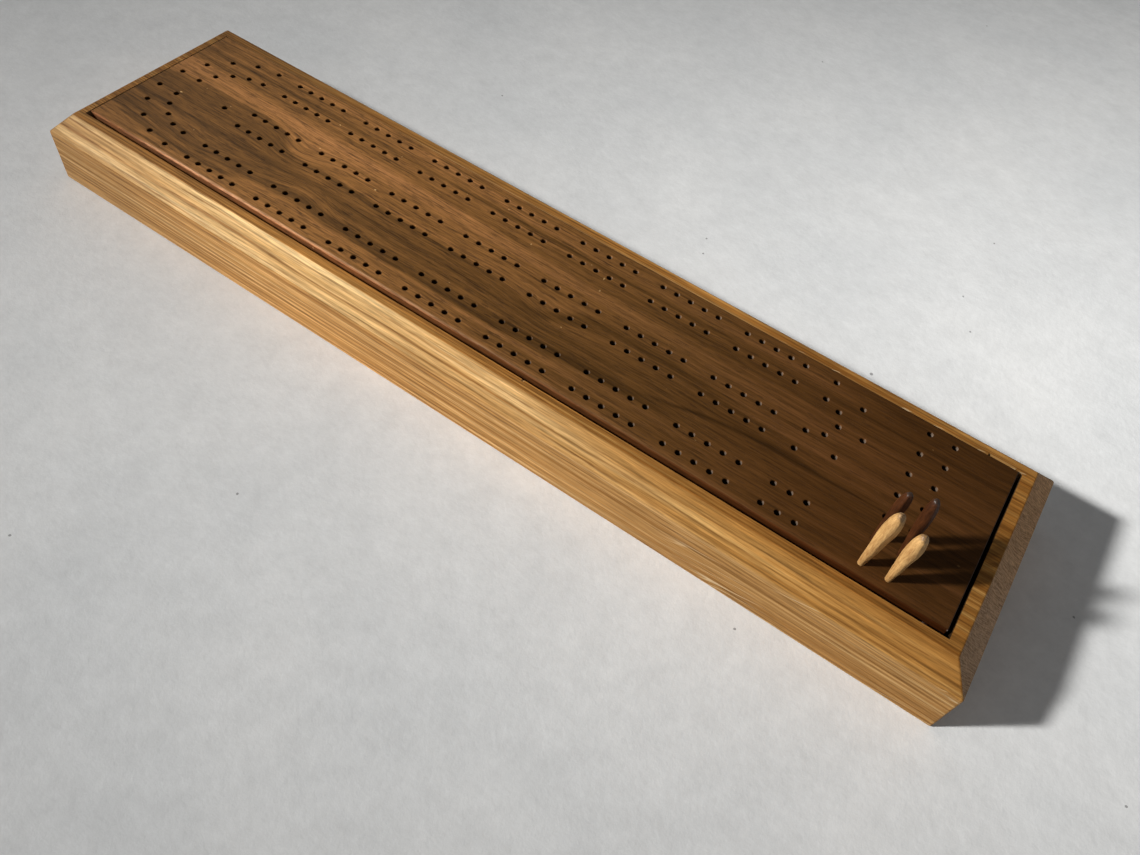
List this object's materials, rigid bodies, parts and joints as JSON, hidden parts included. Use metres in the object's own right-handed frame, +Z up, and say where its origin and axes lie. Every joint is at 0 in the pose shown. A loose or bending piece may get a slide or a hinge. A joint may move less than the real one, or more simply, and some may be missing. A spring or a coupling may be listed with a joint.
{
  "type": "cribbage board",
  "caption": "Long bevelled oak block with a card well, closed by a pivoting walnut lid drilled with a looped peg track and a game counter, with tapered wooden pegs.",
  "frame": {"origin": "centre of the block's flat underside", "axes": "+X along the block towards the pivot end of the lid, +Y from the bevelled front towards the back, +Z up"},
  "size_m": [0.417, 0.103, 0.064],
  "materials": {
    "oak": "oiled, satin",
    "walnut": "oiled, satin",
    "steel": "drawn rod",
    "light_peg": "whittled, dry",
    "dark_peg": "whittled, oiled"
  },
  "bodies": {
    "board": {"board_block": "oak", "hinge_pin_front": "steel", "hinge_pin_back": "steel"},
    "lid": {"track_lid": "walnut"},
    "peg_light_left": {"peg_light_left": "light_peg"},
    "peg_light_right": {"peg_light_right": "light_peg"},
    "peg_dark_left": {"peg_dark_left": "dark_peg"},
    "peg_dark_right": {"peg_dark_right": "dark_peg"}
  },
  "joints": [
    {"name": "lid_pivot", "type": "hinge", "parent": "board", "child": "lid", "pos_m": [0.1876, 0, 0.0285], "axis": [0, 1, 0], "range_deg": [0, 105]},
    {"name": "peg_light_left_lift", "type": "slide", "parent": "lid", "child": "peg_light_left", "axis": [0, 0, 1], "range_m": [0, 0.009]},
    {"name": "peg_light_right_lift", "type": "slide", "parent": "lid", "child": "peg_light_right", "axis": [0, 0, 1], "range_m": [0, 0.009]},
    {"name": "peg_dark_left_lift", "type": "slide", "parent": "lid", "child": "peg_dark_left", "axis": [0, 0, 1], "range_m": [0, 0.009]},
    {"name": "peg_dark_right_lift", "type": "slide", "parent": "lid", "child": "peg_dark_right", "axis": [0, 0, 1], "range_m": [0, 0.009]}
  ]
}
